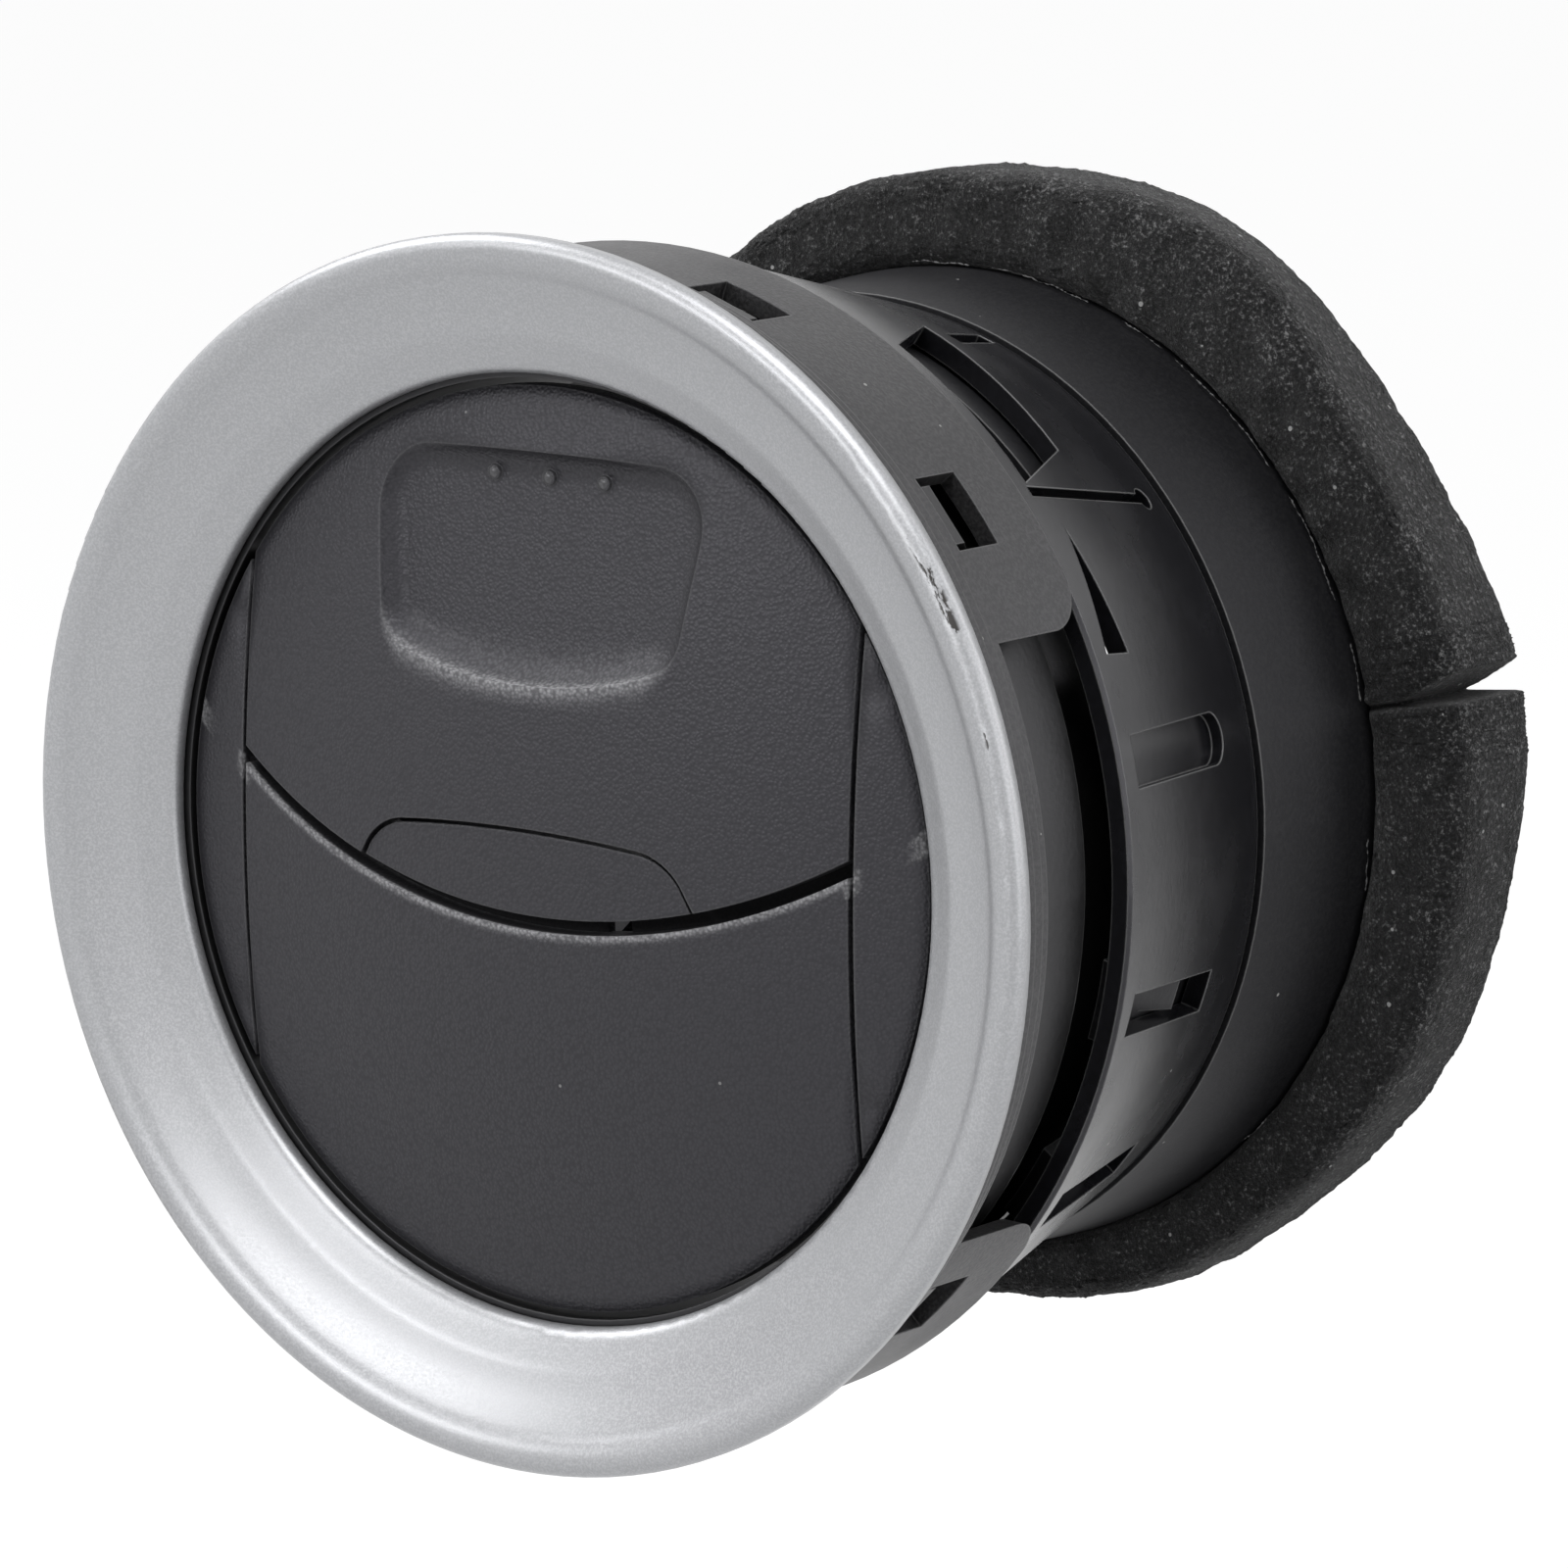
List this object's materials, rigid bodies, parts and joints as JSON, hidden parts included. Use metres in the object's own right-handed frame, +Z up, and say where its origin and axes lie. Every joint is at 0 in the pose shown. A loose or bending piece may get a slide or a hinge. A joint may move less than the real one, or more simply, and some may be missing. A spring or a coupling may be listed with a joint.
{
  "type": "round dashboard air vent",
  "caption": "Round car dashboard air vent with a turning barrel, two linked tilting flaps, a clip collar and a foam-sealed duct spigot.",
  "frame": {"origin": "on the vent's axis, in the plane of the collar flange's rear face, which seats on the dashboard", "axes": "+Y along the axis from the face to the duct, +Z up, +X to the right as seen from the rear; the face looks along -Y"},
  "size_m": [0.0996, 0.0695, 0.0996],
  "materials": {
    "trim_silver": "satin silver paint on plastic",
    "collar_black": "moulded, slightly glossy",
    "sleeve_black": "moulded, satin",
    "felt_grey": "felt",
    "housing_black": "moulded, glossy",
    "spigot_black": "moulded, matte",
    "foam_charcoal": "open-cell foam",
    "barrel_black": "moulded, satin",
    "bush_black": "moulded acetal",
    "face_black": "fine leather grain",
    "link_black": "moulded, satin"
  },
  "bodies": {
    "vent_body": {"trim_ring": "trim_silver", "clip_collar": "collar_black", "inner_sleeve": "sleeve_black", "front_felt": "felt_grey", "rear_felt": "felt_grey", "rear_housing": "housing_black", "duct_spigot": "spigot_black", "foam_seal": "foam_charcoal"},
    "barrel": {"barrel": "barrel_black", "barrel_retainer": "bush_black", "right_cheek": "face_black", "left_cheek": "face_black", "upper_right_bush": "bush_black", "lower_right_bush": "bush_black", "upper_left_bush": "bush_black", "lower_left_bush": "bush_black", "centre_tab": "face_black"},
    "upper_flap": {"upper_flap": "face_black"},
    "lower_flap": {"lower_flap": "face_black"},
    "flap_link": {"flap_link": "link_black"}
  },
  "joints": [
    {"name": "barrel_turn", "type": "hinge", "parent": "vent_body", "child": "barrel", "pos_m": [0, 0, 0], "axis": [0, 1, 0], "continuous": true},
    {"name": "upper_flap_tilt", "type": "hinge", "parent": "barrel", "child": "upper_flap", "pos_m": [0, 0.005, 0.0155], "axis": [-1, 0, 0], "range_deg": [0, 80]},
    {"name": "lower_flap_tilt", "type": "hinge", "parent": "barrel", "child": "lower_flap", "pos_m": [0, 0.005, -0.0155], "axis": [-1, 0, 0], "range_deg": [0, 80]},
    {"name": "link_swing", "type": "hinge", "parent": "upper_flap", "child": "flap_link", "pos_m": [0, 0.01125, 0.02633], "axis": [-1, 0, 0], "range_deg": [-80, 0]}
  ],
  "couplings": [
    {"joint": "lower_flap_tilt", "follows": "upper_flap_tilt", "ratio": 1},
    {"joint": "link_swing", "follows": "upper_flap_tilt", "ratio": -1}
  ]
}
